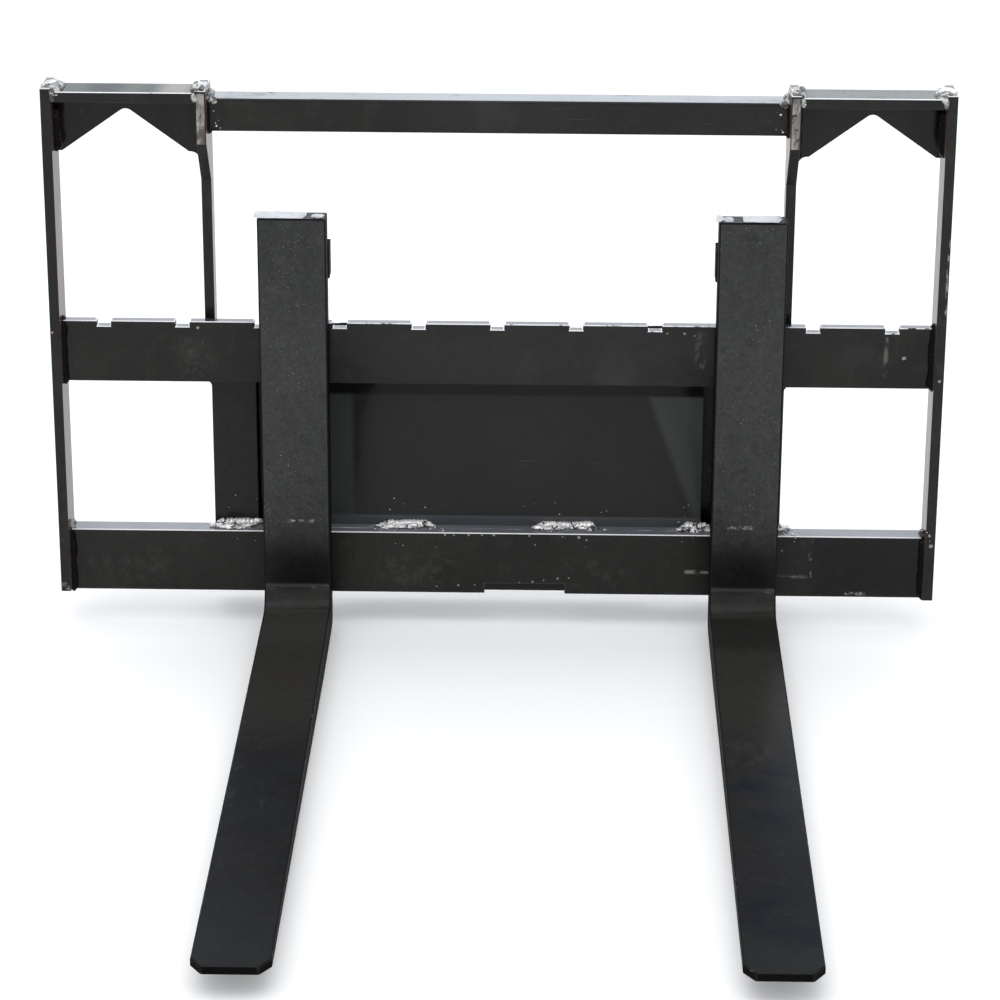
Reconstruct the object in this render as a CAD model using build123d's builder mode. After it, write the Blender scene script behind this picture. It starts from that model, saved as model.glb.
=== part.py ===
from build123d import *
import math
import os

# Pallet fork attachment: a welded walk-through carriage frame with two hook-on
# sliding forks, each held in place by a spring-loaded lock pin.
# Millimetres, +Z up, forks pointing along -Y, ground at Z = 0.
# Profile coordinates (y, z) are counted from the carriage datum: the front face
# of the fork bars and the underside of the lower fork bar.

DATUM_Y = 504.0
DATUM_Z = 48.0

# Carriage
FRAME_HALF_WIDTH = 625.0
UPRIGHT_THICKNESS = 14.0
UPRIGHT_FRONT = -20.0
OUTER_UPRIGHT_REAR = 43.5
OUTER_UPRIGHT_BOTTOM = 4.0
OUTER_UPRIGHT_TOP = 744.5
INNER_UPRIGHT_OUTER_X = 413.0
INNER_UPRIGHT_REAR = 66.0
BAR_DEPTH = 32.0
LIP_DEPTH = 16.0
LIP_HEIGHT = 15.0
CARRIAGE_HEIGHT = 407.0
UPPER_BAR_BOTTOM = 317.5
LOWER_BAR_TOP = 93.0

# Notches in the upper bar that locate the lock pins
NOTCH_PITCH = 110.4
NOTCH_WIDTH = 19.7
NOTCH_DEPTH = 8.0
NOTCHES_EACH_SIDE = 5

# Gap in the lower bar's lip where a fork's bottom hook is taken off
REMOVAL_GAP_LEFT = -17.0
REMOVAL_GAP_RIGHT = 98.0

# Wings and top tube
WING_BAR_BOTTOM = 725.0
WING_BAR_TOP = 740.0
WING_BAR_REAR = 33.0
GUSSET_THICKNESS = 8.0
GUSSET_FOOT = 646.0
GUSSET_CORNER_RADIUS = 13.0
TUBE_SIZE = 46.0
TUBE_WALL = 4.0
TUBE_FRONT = 4.0
TUBE_BOTTOM = 680.0

# Rear coupler
PANEL_THICKNESS = 8.0
PANEL_HALF_WIDTH = 293.0
PANEL_BOTTOM = -8.0
PANEL_TOP = 390.0
STRAP_INNER_X = 343.0
STRAP_FLARE = 7.0
STRAP_FLARE_BOTTOM = 300.5
COUPLER_HALF_WIDTH = 406.0
COUPLER_FRONT = 66.0
COUPLER_REAR = 74.0
COUPLER_LIP_REAR = 100.0
COUPLER_TOP = 345.0
RIB_THICKNESS = 12.0
UPRIGHT_LEG_BOTTOM = 330.0
LATCH_SLOT_X = 250.0
LATCH_SLOT_Y = 87.0
LATCH_SLOT_LENGTH = 60.0
LATCH_SLOT_WIDTH = 16.0

# Forks
FORK_CENTRES = {"left": -283.5, "right": 352.5}
FORK_WIDTH = 95.0
SHANK_FRONT = -36.5
SHANK_REAR = -0.5
SHANK_TOP = 568.0
BLADE_TOP = -8.0
BLADE_BOTTOM = -48.0
BLADE_TIP = -1108.0
TAPER_START = -200.0
TIP_THICKNESS = 11.0
TIP_CORNER_WIDTH = 14.0
TIP_CORNER_LENGTH = 22.0
TIP_EDGE_RADIUS = 4.0
INNER_HEEL_RADIUS = 30.0
OUTER_HEEL_RADIUS = 24.0

# Hooks and fork lock
HOOK_WIDTH = 88.0
HOOK_GAP = 0.6
HOOK_REAR = 31.2
TOP_HOOK_TOP = 472.0
BOTTOM_HOOK_BOTTOM = -22.0
HOUSING_WIDTH = 99.0
HOUSING_TOP = 520.0
LOCK_Y = 9.0
PIN_RADIUS = 6.0
STEM_RADIUS = 4.0
BORE_CLEARANCE = 0.05
PIN_TIP = CARRIAGE_HEIGHT + 0.1
PIN_SHOULDER = 480.0
SPRING_CAVITY_RADIUS = 8.0
CAVITY_TOP = 508.0
SPRING_WIRE = 2.0
SPRING_RADIUS = 6.2
SPRING_TURNS = 5
HANDLE_HUB_BOTTOM = 537.0
HANDLE_HUB_HEIGHT = 16.0
HANDLE_BAR_RADIUS = 4.5
HANDLE_BAR_LENGTH = 60.0
STEM_TOP = 551.0
ROLL_PIN_RADIUS = 1.5

SIDES = {"left": -1, "right": 1}


def save(piece, label):
    """Label one finished piece and write it to the parts folder."""
    piece.part.label = label
    export_step(piece.part, f"parts/{label}.step")


def block(x_range, y_range, z_range):
    """Rectangular bar or plate between three pairs of limits."""
    width = x_range[1] - x_range[0]
    depth = y_range[1] - y_range[0]
    centre = (sum(x_range) / 2, DATUM_Y + sum(y_range) / 2)
    with BuildPart() as piece:
        with BuildSketch(Plane.XY.offset(DATUM_Z + z_range[0])):
            with Locations(centre):
                Rectangle(width, depth)
        extrude(amount=z_range[1] - z_range[0])
    return piece


def side_cut(outline, x_start, width):
    """Plate or bar with a (y, z) outline, running along +X from x_start."""
    corners = [(DATUM_Y + y, DATUM_Z + z) for y, z in outline]
    with BuildPart() as piece:
        with BuildSketch(Plane.YZ.offset(x_start)):
            with BuildLine():
                Polyline(*corners, close=True)
            make_face()
        extrude(amount=width)
    return piece


def span(side, inner, outer):
    """Ordered x limits of a piece between two distances from the centre."""
    return (min(side * inner, side * outer), max(side * inner, side * outer))


os.makedirs("parts", exist_ok=True)

# ---------------------------------------------------------------- fork bars
bar_half = FRAME_HALF_WIDTH - UPRIGHT_THICKNESS

upper_outline = [
    (0, UPPER_BAR_BOTTOM),
    (BAR_DEPTH, UPPER_BAR_BOTTOM),
    (BAR_DEPTH, CARRIAGE_HEIGHT - LIP_HEIGHT),
    (LIP_DEPTH, CARRIAGE_HEIGHT - LIP_HEIGHT),
    (LIP_DEPTH, CARRIAGE_HEIGHT),
    (0, CARRIAGE_HEIGHT),
]
with BuildPart() as upper_fork_bar:
    with BuildSketch(Plane.YZ.offset(-bar_half)):
        with BuildLine():
            Polyline(*[(DATUM_Y + y, DATUM_Z + z) for y, z in upper_outline], close=True)
        make_face()
    extrude(amount=2 * bar_half)
    with BuildSketch(Plane.XY.offset(DATUM_Z + CARRIAGE_HEIGHT)):
        with Locations((0, DATUM_Y + LIP_DEPTH / 2)):
            with GridLocations(NOTCH_PITCH, 1, 2 * NOTCHES_EACH_SIDE + 1, 1):
                Rectangle(NOTCH_WIDTH, LIP_DEPTH)
    extrude(amount=-NOTCH_DEPTH, mode=Mode.SUBTRACT)
save(upper_fork_bar, "upper_fork_bar")

lower_outline = [
    (0, 0),
    (LIP_DEPTH, 0),
    (LIP_DEPTH, LIP_HEIGHT),
    (BAR_DEPTH, LIP_HEIGHT),
    (BAR_DEPTH, LOWER_BAR_TOP),
    (0, LOWER_BAR_TOP),
]
with BuildPart() as lower_fork_bar:
    with BuildSketch(Plane.YZ.offset(-bar_half)):
        with BuildLine():
            Polyline(*[(DATUM_Y + y, DATUM_Z + z) for y, z in lower_outline], close=True)
        make_face()
    extrude(amount=2 * bar_half)
    with BuildSketch(Plane.XY.offset(DATUM_Z)):
        with Locations(((REMOVAL_GAP_LEFT + REMOVAL_GAP_RIGHT) / 2, DATUM_Y + LIP_DEPTH / 2)):
            Rectangle(REMOVAL_GAP_RIGHT - REMOVAL_GAP_LEFT, LIP_DEPTH)
    extrude(amount=LIP_HEIGHT, mode=Mode.SUBTRACT)
save(lower_fork_bar, "lower_fork_bar")

# ---------------------------------------------------------------- uprights and wings
# The inner uprights pass behind the bars and carry a nose that reaches forward
# above the forks, so the forks can slide underneath it.
inner_upright_outline = [
    (UPRIGHT_FRONT, 742.5),
    (UPRIGHT_FRONT, 669),
    (BAR_DEPTH, 604),
    (BAR_DEPTH, UPRIGHT_LEG_BOTTOM),
    (INNER_UPRIGHT_REAR, UPRIGHT_LEG_BOTTOM),
    (INNER_UPRIGHT_REAR, 722.5),
    (INNER_UPRIGHT_REAR - 20, 742.5),
]
# Front outline of a wing gusset as distances from the centre and heights:
# a broad V is cut out of its lower edge and a short tail runs down the upright.
gusset_apex = (514, 709)
gusset_arc_start = (INNER_UPRIGHT_OUTER_X + GUSSET_CORNER_RADIUS, GUSSET_FOOT)
gusset_arc_end = (INNER_UPRIGHT_OUTER_X, GUSSET_FOOT - GUSSET_CORNER_RADIUS)
gusset_outline = [
    gusset_arc_end,
    (INNER_UPRIGHT_OUTER_X, WING_BAR_BOTTOM),
    (bar_half, WING_BAR_BOTTOM),
    (bar_half, GUSSET_FOOT),
    (603.6, GUSSET_FOOT),
    gusset_apex,
    (428, GUSSET_FOOT),
    gusset_arc_start,
]

for name, side in SIDES.items():
    outer_upright = block(
        span(side, bar_half, FRAME_HALF_WIDTH),
        (UPRIGHT_FRONT, OUTER_UPRIGHT_REAR),
        (OUTER_UPRIGHT_BOTTOM, OUTER_UPRIGHT_TOP),
    )
    save(outer_upright, f"outer_upright_{name}")

    inner_x = span(side, INNER_UPRIGHT_OUTER_X - UPRIGHT_THICKNESS, INNER_UPRIGHT_OUTER_X)
    inner_upright = side_cut(inner_upright_outline, inner_x[0], UPRIGHT_THICKNESS)
    save(inner_upright, f"inner_upright_{name}")

    wing_bar = block(
        span(side, INNER_UPRIGHT_OUTER_X, bar_half),
        (UPRIGHT_FRONT, WING_BAR_REAR),
        (WING_BAR_BOTTOM, WING_BAR_TOP),
    )
    save(wing_bar, f"wing_bar_{name}")

    with BuildPart() as wing_gusset:
        with BuildSketch(Plane.XZ.offset(-(DATUM_Y + WING_BAR_REAR))) as gusset_face:
            with BuildLine():
                edge_points = [(side * x, DATUM_Z + z) for x, z in gusset_outline]
                Polyline(*edge_points)
                bow = GUSSET_CORNER_RADIUS * (1 - math.sqrt(0.5))
                middle = (side * (INNER_UPRIGHT_OUTER_X + bow), DATUM_Z + GUSSET_FOOT - bow)
                ThreePointArc(edge_points[-1], middle, edge_points[0])
            make_face()
            apex = Vector(side * gusset_apex[0], DATUM_Z + gusset_apex[1], 0)
            fillet(gusset_face.vertices().sort_by_distance(apex)[0], radius=12)
        extrude(amount=GUSSET_THICKNESS)
    save(wing_gusset, f"wing_gusset_{name}")

tube_half = INNER_UPRIGHT_OUTER_X - UPRIGHT_THICKNESS
with BuildPart() as centre_tube:
    with BuildSketch(Plane.YZ.offset(-tube_half)):
        with Locations((DATUM_Y + TUBE_FRONT + TUBE_SIZE / 2, DATUM_Z + TUBE_BOTTOM + TUBE_SIZE / 2)):
            RectangleRounded(TUBE_SIZE, TUBE_SIZE, TUBE_WALL)
            Rectangle(TUBE_SIZE - 2 * TUBE_WALL, TUBE_SIZE - 2 * TUBE_WALL, mode=Mode.SUBTRACT)
    extrude(amount=2 * tube_half)
save(centre_tube, "centre_tube")

# ---------------------------------------------------------------- coupler box
panel_rear = BAR_DEPTH + PANEL_THICKNESS
centre_panel = block(
    (-PANEL_HALF_WIDTH, PANEL_HALF_WIDTH),
    (BAR_DEPTH, panel_rear),
    (PANEL_BOTTOM, PANEL_TOP),
)
save(centre_panel, "centre_panel")

strap_step = INNER_UPRIGHT_OUTER_X - UPRIGHT_THICKNESS
# The strap flares outwards on a radius just below the inner upright's foot
strap_flare_top = STRAP_FLARE_BOTTOM + STRAP_FLARE
strap_flare_x = COUPLER_HALF_WIDTH + STRAP_FLARE
strap_outline = [
    (strap_flare_x, strap_flare_top),
    (strap_flare_x, UPRIGHT_LEG_BOTTOM),
    (strap_step, UPRIGHT_LEG_BOTTOM),
    (strap_step, PANEL_TOP),
    (STRAP_INNER_X, PANEL_TOP),
    (STRAP_INNER_X, PANEL_BOTTOM),
    (COUPLER_HALF_WIDTH, PANEL_BOTTOM),
    (COUPLER_HALF_WIDTH, STRAP_FLARE_BOTTOM),
]
rib_inner_faces = {
    "inner_rib": PANEL_HALF_WIDTH - RIB_THICKNESS,
    "outer_rib": STRAP_INNER_X,
    "coupler_side": COUPLER_HALF_WIDTH - RIB_THICKNESS,
}
for name, side in SIDES.items():
    with BuildPart() as side_strap:
        with BuildSketch(Plane.XZ.offset(-(DATUM_Y + panel_rear))):
            with BuildLine():
                edge_points = [(side * x, DATUM_Z + z) for x, z in strap_outline]
                Polyline(*edge_points)
                bow = STRAP_FLARE * (1 - math.sqrt(0.5))
                middle = (side * (COUPLER_HALF_WIDTH + bow), DATUM_Z + strap_flare_top - bow)
                ThreePointArc(edge_points[-1], middle, edge_points[0])
            make_face()
        extrude(amount=PANEL_THICKNESS)
    save(side_strap, f"side_strap_{name}")

    for rib_name, inner_face in rib_inner_faces.items():
        rib_top = UPRIGHT_LEG_BOTTOM if rib_name == "coupler_side" else COUPLER_TOP
        rib = block(
            span(side, inner_face, inner_face + RIB_THICKNESS),
            (panel_rear, COUPLER_FRONT),
            (0, rib_top),
        )
        save(rib, f"{rib_name}_{name}")

coupler_plate = block(
    (-COUPLER_HALF_WIDTH, COUPLER_HALF_WIDTH),
    (COUPLER_FRONT, COUPLER_REAR),
    (PANEL_THICKNESS, COUPLER_TOP),
)
save(coupler_plate, "coupler_plate")

# Angled lip that hooks over the carrier, and a floor flange with two latch slots
coupler_lip_outline = [
    (COUPLER_FRONT, COUPLER_TOP),
    (COUPLER_REAR, COUPLER_TOP),
    (COUPLER_LIP_REAR, 366.8),
    (COUPLER_LIP_REAR - 5.1, 372.9),
    (COUPLER_FRONT, 348.7),
]
coupler_lip = side_cut(coupler_lip_outline, -COUPLER_HALF_WIDTH, 2 * COUPLER_HALF_WIDTH)
save(coupler_lip, "coupler_lip")

with BuildPart() as coupler_floor:
    with BuildSketch(Plane.XY.offset(DATUM_Z)):
        with Locations((0, DATUM_Y + (COUPLER_FRONT + COUPLER_LIP_REAR) / 2)):
            Rectangle(2 * COUPLER_HALF_WIDTH, COUPLER_LIP_REAR - COUPLER_FRONT)
        with Locations((0, DATUM_Y + LATCH_SLOT_Y)):
            with GridLocations(2 * LATCH_SLOT_X, 1, 2, 1):
                SlotOverall(LATCH_SLOT_LENGTH, LATCH_SLOT_WIDTH, mode=Mode.SUBTRACT)
    extrude(amount=PANEL_THICKNESS)
save(coupler_floor, "coupler_floor")

# ---------------------------------------------------------------- forks
fork_outline = [
    (SHANK_REAR, SHANK_TOP),
    (SHANK_FRONT, SHANK_TOP),
    (SHANK_FRONT, BLADE_TOP),
    (BLADE_TIP, BLADE_TOP),
    (BLADE_TIP, BLADE_TOP - TIP_THICKNESS),
    (TAPER_START, BLADE_BOTTOM),
    (SHANK_REAR, BLADE_BOTTOM),
]
fork_rounds = [
    ((SHANK_FRONT, BLADE_TOP), INNER_HEEL_RADIUS),
    ((SHANK_REAR, BLADE_BOTTOM), OUTER_HEEL_RADIUS),
    ((BLADE_TIP, BLADE_TOP), TIP_EDGE_RADIUS),
    ((BLADE_TIP, BLADE_TOP - TIP_THICKNESS), TIP_EDGE_RADIUS),
]
bar_back_of_lip = LIP_DEPTH + HOOK_GAP
top_hook_outline = [
    (SHANK_REAR, CARRIAGE_HEIGHT + HOOK_GAP),
    (bar_back_of_lip, CARRIAGE_HEIGHT + HOOK_GAP),
    (bar_back_of_lip, CARRIAGE_HEIGHT - LIP_HEIGHT + 1),
    (HOOK_REAR, CARRIAGE_HEIGHT - LIP_HEIGHT + 1),
    (HOOK_REAR, TOP_HOOK_TOP),
    (SHANK_REAR, TOP_HOOK_TOP),
]
bottom_hook_outline = [
    (SHANK_REAR, -HOOK_GAP),
    (bar_back_of_lip, -HOOK_GAP),
    (bar_back_of_lip, LIP_HEIGHT - 1),
    (HOOK_REAR, LIP_HEIGHT - 1),
    (HOOK_REAR, BOTTOM_HOOK_BOTTOM),
    (SHANK_REAR, BOTTOM_HOOK_BOTTOM),
]
lock_y = DATUM_Y + LOCK_Y

for name, x_centre in FORK_CENTRES.items():
    left_edge = x_centre - FORK_WIDTH / 2
    right_edge = x_centre + FORK_WIDTH / 2

    with BuildPart() as fork:
        with BuildSketch(Plane.YZ.offset(left_edge)) as fork_side:
            with BuildLine():
                Polyline(*[(DATUM_Y + y, DATUM_Z + z) for y, z in fork_outline], close=True)
            make_face()
            for (corner_y, corner_z), corner_radius in fork_rounds:
                corner = Vector(DATUM_Y + corner_y, DATUM_Z + corner_z, 0)
                fillet(fork_side.vertices().sort_by_distance(corner)[0], radius=corner_radius)
        extrude(amount=FORK_WIDTH)
        with BuildSketch(Plane.XY):
            for edge_x, inward in ((left_edge, 1), (right_edge, -1)):
                tip_y = DATUM_Y + BLADE_TIP
                with BuildLine():
                    Polyline(
                        (edge_x, tip_y),
                        (edge_x + inward * TIP_CORNER_WIDTH, tip_y),
                        (edge_x, tip_y + TIP_CORNER_LENGTH),
                        close=True,
                    )
                make_face()
        extrude(amount=DATUM_Z, mode=Mode.SUBTRACT)
    save(fork, f"fork_{name}")

    with BuildPart() as top_hook:
        with BuildSketch(Plane.YZ.offset(x_centre - HOOK_WIDTH / 2)):
            with BuildLine():
                Polyline(*[(DATUM_Y + y, DATUM_Z + z) for y, z in top_hook_outline], close=True)
            make_face()
        extrude(amount=HOOK_WIDTH)
        with BuildSketch(Plane.XY.offset(DATUM_Z + TOP_HOOK_TOP)):
            with Locations((x_centre, lock_y)):
                Circle(PIN_RADIUS + BORE_CLEARANCE)
        extrude(amount=-(TOP_HOOK_TOP - CARRIAGE_HEIGHT), mode=Mode.SUBTRACT)
    save(top_hook, f"top_hook_{name}")

    bottom_hook = side_cut(bottom_hook_outline, x_centre - HOOK_WIDTH / 2, HOOK_WIDTH)
    save(bottom_hook, f"bottom_hook_{name}")

    with BuildPart() as lock_housing:
        with BuildSketch(Plane.XY.offset(DATUM_Z + TOP_HOOK_TOP)):
            with Locations((x_centre, DATUM_Y + (SHANK_REAR + HOOK_REAR) / 2)):
                Rectangle(HOUSING_WIDTH, HOOK_REAR - SHANK_REAR)
            with Locations((x_centre, lock_y)):
                Circle(SPRING_CAVITY_RADIUS, mode=Mode.SUBTRACT)
        extrude(amount=HOUSING_TOP - TOP_HOOK_TOP)
    save(lock_housing, f"lock_housing_{name}")

    with BuildPart() as lock_cap:
        with BuildSketch(Plane.XY.offset(DATUM_Z + CAVITY_TOP)):
            with Locations((x_centre, lock_y)):
                Circle(SPRING_CAVITY_RADIUS)
                Circle(STEM_RADIUS + BORE_CLEARANCE, mode=Mode.SUBTRACT)
        extrude(amount=HOUSING_TOP - CAVITY_TOP)
    save(lock_cap, f"lock_cap_{name}")

    coil_height = CAVITY_TOP - PIN_SHOULDER - SPRING_WIRE - 0.2
    with BuildPart() as lock_spring:
        with BuildLine() as coil:
            Helix(
                pitch=coil_height / SPRING_TURNS,
                height=coil_height,
                radius=SPRING_RADIUS,
                center=(x_centre, lock_y, DATUM_Z + PIN_SHOULDER + SPRING_WIRE / 2 + 0.1),
            )
        with BuildSketch(Plane(origin=coil.line @ 0, z_dir=coil.line % 0)):
            Circle(SPRING_WIRE / 2)
        sweep()
    save(lock_spring, f"lock_spring_{name}")

    with BuildPart() as lock_pin:
        with BuildSketch(Plane.XY.offset(DATUM_Z + PIN_TIP)):
            with Locations((x_centre, lock_y)):
                Circle(PIN_RADIUS)
        extrude(amount=PIN_SHOULDER - PIN_TIP)
        with BuildSketch(Plane.XY.offset(DATUM_Z + PIN_SHOULDER)):
            with Locations((x_centre, lock_y)):
                Circle(STEM_RADIUS)
        extrude(amount=STEM_TOP - PIN_SHOULDER)
        with BuildSketch(Plane.XZ.offset(-lock_y)):
            with Locations((x_centre, DATUM_Z + HANDLE_HUB_BOTTOM + HANDLE_HUB_HEIGHT / 2)):
                Circle(ROLL_PIN_RADIUS)
        extrude(amount=STEM_RADIUS, both=True, mode=Mode.SUBTRACT)
        chamfer(lock_pin.edges().group_by(Axis.Z)[0], length=2)
    save(lock_pin, f"lock_pin_{name}")

    hub_middle = DATUM_Z + HANDLE_HUB_BOTTOM + HANDLE_HUB_HEIGHT / 2
    with BuildPart() as pull_handle:
        with BuildSketch(Plane.XY.offset(DATUM_Z + HANDLE_HUB_BOTTOM)):
            with Locations((x_centre, lock_y)):
                Circle(SPRING_CAVITY_RADIUS)
        extrude(amount=HANDLE_HUB_HEIGHT)
        with BuildSketch(Plane.YZ.offset(x_centre)):
            with Locations((lock_y, hub_middle)):
                Circle(HANDLE_BAR_RADIUS)
        extrude(amount=HANDLE_BAR_LENGTH / 2, both=True)
        with BuildSketch(Plane.XY.offset(DATUM_Z + HANDLE_HUB_BOTTOM)):
            with Locations((x_centre, lock_y)):
                Circle(STEM_RADIUS)
        extrude(amount=STEM_TOP - HANDLE_HUB_BOTTOM, mode=Mode.SUBTRACT)
        with BuildSketch(Plane.XZ.offset(-lock_y)):
            with Locations((x_centre, hub_middle)):
                Circle(ROLL_PIN_RADIUS)
        extrude(amount=SPRING_CAVITY_RADIUS, both=True, mode=Mode.SUBTRACT)
        fillet(pull_handle.edges().group_by(Axis.X)[0], radius=1.5)
        fillet(pull_handle.edges().group_by(Axis.X)[-1], radius=1.5)
    save(pull_handle, f"pull_handle_{name}")

    with BuildPart() as roll_pin:
        with BuildSketch(Plane.XZ.offset(-lock_y)):
            with Locations((x_centre, hub_middle)):
                Circle(ROLL_PIN_RADIUS)
        extrude(amount=SPRING_CAVITY_RADIUS - 0.5, both=True)
    save(roll_pin, f"roll_pin_{name}")
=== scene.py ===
import math
import random

import bmesh
import bpy
from mathutils import Matrix, Vector, noise


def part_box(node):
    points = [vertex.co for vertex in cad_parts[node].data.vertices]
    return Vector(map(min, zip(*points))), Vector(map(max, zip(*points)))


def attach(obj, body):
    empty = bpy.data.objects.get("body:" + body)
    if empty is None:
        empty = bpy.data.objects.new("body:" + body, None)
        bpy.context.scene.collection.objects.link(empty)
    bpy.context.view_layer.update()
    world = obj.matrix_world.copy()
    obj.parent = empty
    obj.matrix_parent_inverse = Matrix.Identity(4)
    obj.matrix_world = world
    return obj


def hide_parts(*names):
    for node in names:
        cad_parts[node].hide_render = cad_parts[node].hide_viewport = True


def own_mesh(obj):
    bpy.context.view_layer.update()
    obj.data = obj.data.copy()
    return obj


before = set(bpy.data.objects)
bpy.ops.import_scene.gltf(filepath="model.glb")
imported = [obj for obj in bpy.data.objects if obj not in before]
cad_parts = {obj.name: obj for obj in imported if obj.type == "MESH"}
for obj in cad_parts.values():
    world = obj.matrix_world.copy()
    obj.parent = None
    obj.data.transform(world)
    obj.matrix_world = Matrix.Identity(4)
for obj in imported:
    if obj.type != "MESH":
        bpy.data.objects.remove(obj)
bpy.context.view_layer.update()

MM = 0.001

# The carriage datum: front face of the fork bars, underside of the lower bar.
lower_bar_low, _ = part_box("lower_fork_bar")
DATUM = Vector((0.0, lower_bar_low.y, lower_bar_low.z))
UP = Vector((0.0, 0.0, 1.0))


def place(x, y, z):
    """A point given in millimetres from the carriage datum, in metres."""
    return DATUM + Vector((x, y, z)) * MM


def local_box(node):
    """A node's corners in millimetres from the carriage datum."""
    low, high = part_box(node)
    return (low - DATUM) / MM, (high - DATUM) / MM


# ---------------------------------------------------------------- materials


class Graph:
    """Small helper around one material's node tree."""

    def __init__(self, name):
        self.material = bpy.data.materials.new(name)
        self.material.use_nodes = True
        self.tree = self.material.node_tree
        self.tree.nodes.clear()
        self.output = self.add("ShaderNodeOutputMaterial")
        self.shader = self.add("ShaderNodeBsdfPrincipled")
        self.link(self.shader.outputs[0], self.output.inputs[0])
        self.coordinates = self.add("ShaderNodeTexCoord").outputs["Object"]
        self.normal = self.add("ShaderNodeNewGeometry").outputs["Normal"]

    def add(self, kind, **settings):
        node = self.tree.nodes.new(kind)
        for key, value in settings.items():
            setattr(node, key, value)
        return node

    def link(self, source, target):
        self.tree.links.new(source, target)

    def feed(self, value, socket):
        """Put a constant or another node's output into a socket."""
        if isinstance(value, bpy.types.NodeSocket):
            self.link(value, socket)
        else:
            socket.default_value = value

    def moved(self, stretch, turn=(0, 0, 0)):
        """Object coordinates, turned and stretched, for noise that runs in streaks."""
        mapping = self.add("ShaderNodeMapping")
        mapping.inputs["Scale"].default_value = stretch
        mapping.inputs["Rotation"].default_value = turn
        self.link(self.coordinates, mapping.inputs["Vector"])
        return mapping.outputs[0]

    def noise(self, scale, detail=3.0, rough=0.55, warp=0.0, vector=None):
        texture = self.add("ShaderNodeTexNoise")
        texture.inputs["Scale"].default_value = scale
        texture.inputs["Detail"].default_value = detail
        texture.inputs["Roughness"].default_value = rough
        texture.inputs["Distortion"].default_value = warp
        self.link(vector or self.coordinates, texture.inputs["Vector"])
        return texture.outputs["Fac"]

    def cells(self, scale):
        texture = self.add("ShaderNodeTexVoronoi")
        texture.inputs["Scale"].default_value = scale
        self.link(self.coordinates, texture.inputs["Vector"])
        return texture.outputs["Distance"]

    def band(self, value, low, high, out_low=0.0, out_high=1.0):
        """Smooth step from out_low at low to out_high at high."""
        node = self.add("ShaderNodeMapRange", interpolation_type="SMOOTHSTEP")
        self.link(value, node.inputs["Value"])
        node.inputs["From Min"].default_value = low
        node.inputs["From Max"].default_value = high
        node.inputs["To Min"].default_value = out_low
        node.inputs["To Max"].default_value = out_high
        return node.outputs[0]

    def calc(self, operation, first, second, clamp=False):
        node = self.add("ShaderNodeMath", operation=operation, use_clamp=clamp)
        self.feed(first, node.inputs[0])
        self.feed(second, node.inputs[1])
        return node.outputs[0]

    def mix(self, factor, first, second):
        node = self.add("ShaderNodeMix", data_type="RGBA")
        self.feed(factor, node.inputs["Factor"])
        for value, socket in ((first, node.inputs[6]), (second, node.inputs[7])):
            if isinstance(value, tuple):
                value = (*value, 1.0)
            self.feed(value, socket)
        return node.outputs[2]

    def times(self, *factors):
        result = factors[0]
        for factor in factors[1:]:
            result = self.calc("MULTIPLY", result, factor)
        return result

    def axis_part(self, vector, axis):
        node = self.add("ShaderNodeSeparateXYZ")
        self.link(vector, node.inputs[0])
        return node.outputs[axis]

    def spot(self, point, radius, edge, ragged):
        """1 inside a ball around a point, 0 outside, with an uneven edge."""
        node = self.add("ShaderNodeVectorMath", operation="DISTANCE")
        self.link(self.coordinates, node.inputs[0])
        node.inputs[1].default_value = point
        distance = node.outputs["Value"]
        wobble = self.times(self.noise(1.6 / radius, 3.0), ragged * radius * 2)
        distance = self.calc("ADD", distance, wobble)
        distance = self.calc("SUBTRACT", distance, ragged * radius)
        return self.band(distance, radius * (1 - edge), radius, 1.0, 0.0)

    def slab(self, low, high, soft):
        """1 inside an axis-aligned box, fading out over the soft distance."""
        walls = []
        for axis in range(3):
            part = self.axis_part(self.coordinates, axis)
            walls.append(self.band(part, low[axis] - soft, low[axis] + soft))
            walls.append(self.band(part, high[axis] - soft, high[axis] + soft, 1.0, 0.0))
        return self.times(*walls)

    def wedge(self, slope, low, high, ceiling):
        """1 on the +X side of a line that leans in the XZ plane, below a ceiling height."""
        height = self.axis_part(self.coordinates, 2)
        leaning = self.calc("ADD", self.axis_part(self.coordinates, 0), self.times(height, slope))
        return self.times(self.band(leaning, low, high), self.band(height, *ceiling, 1.0, 0.0))

    def union(self, masks):
        result = masks[0]
        for mask in masks[1:]:
            result = self.calc("MAXIMUM", result, mask)
        return result

    def bump(self, height, strength, distance, base=None):
        node = self.add("ShaderNodeBump")
        node.inputs["Strength"].default_value = strength
        node.inputs["Distance"].default_value = distance
        self.link(height, node.inputs["Height"])
        if base:
            self.link(base, node.inputs["Normal"])
        return node.outputs[0]

    def set(self, **values):
        """Fill the shader's sockets, named with underscores for spaces."""
        for key, value in values.items():
            if isinstance(value, tuple):
                value = (*value, 1.0)
            self.feed(value, self.shader.inputs[key.replace("_", " ")])


STAIN_BLACK = (0.004, 0.004, 0.004)
PIT_BLACK = (0.005, 0.005, 0.005)


def smear_mask(graph, smear):
    """Where one change of tone shows: its kind comes first, its tint last."""
    kind, *numbers, _ = smear
    if kind == "wedge":
        return graph.wedge(*numbers)
    if kind == "smudge":
        return graph.spot(*numbers, edge=0.9, ragged=0.8)
    return graph.slab(*numbers)


def mark_mask(graph, mark):
    """Where one rubbed mark shows: a ragged chip, or a box of broken streaks."""
    kind, *numbers = mark
    if kind == "chip":
        return graph.spot(*numbers, edge=0.4, ragged=0.9)
    low, high, soft, broken, strength = numbers
    streaks = graph.noise(1.0, 4.0, 0.7, 0.5, graph.moved(stretch=broken))
    return graph.times(graph.slab(low, high, soft), graph.band(streaks, 0.47, 0.6), strength)


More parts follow.
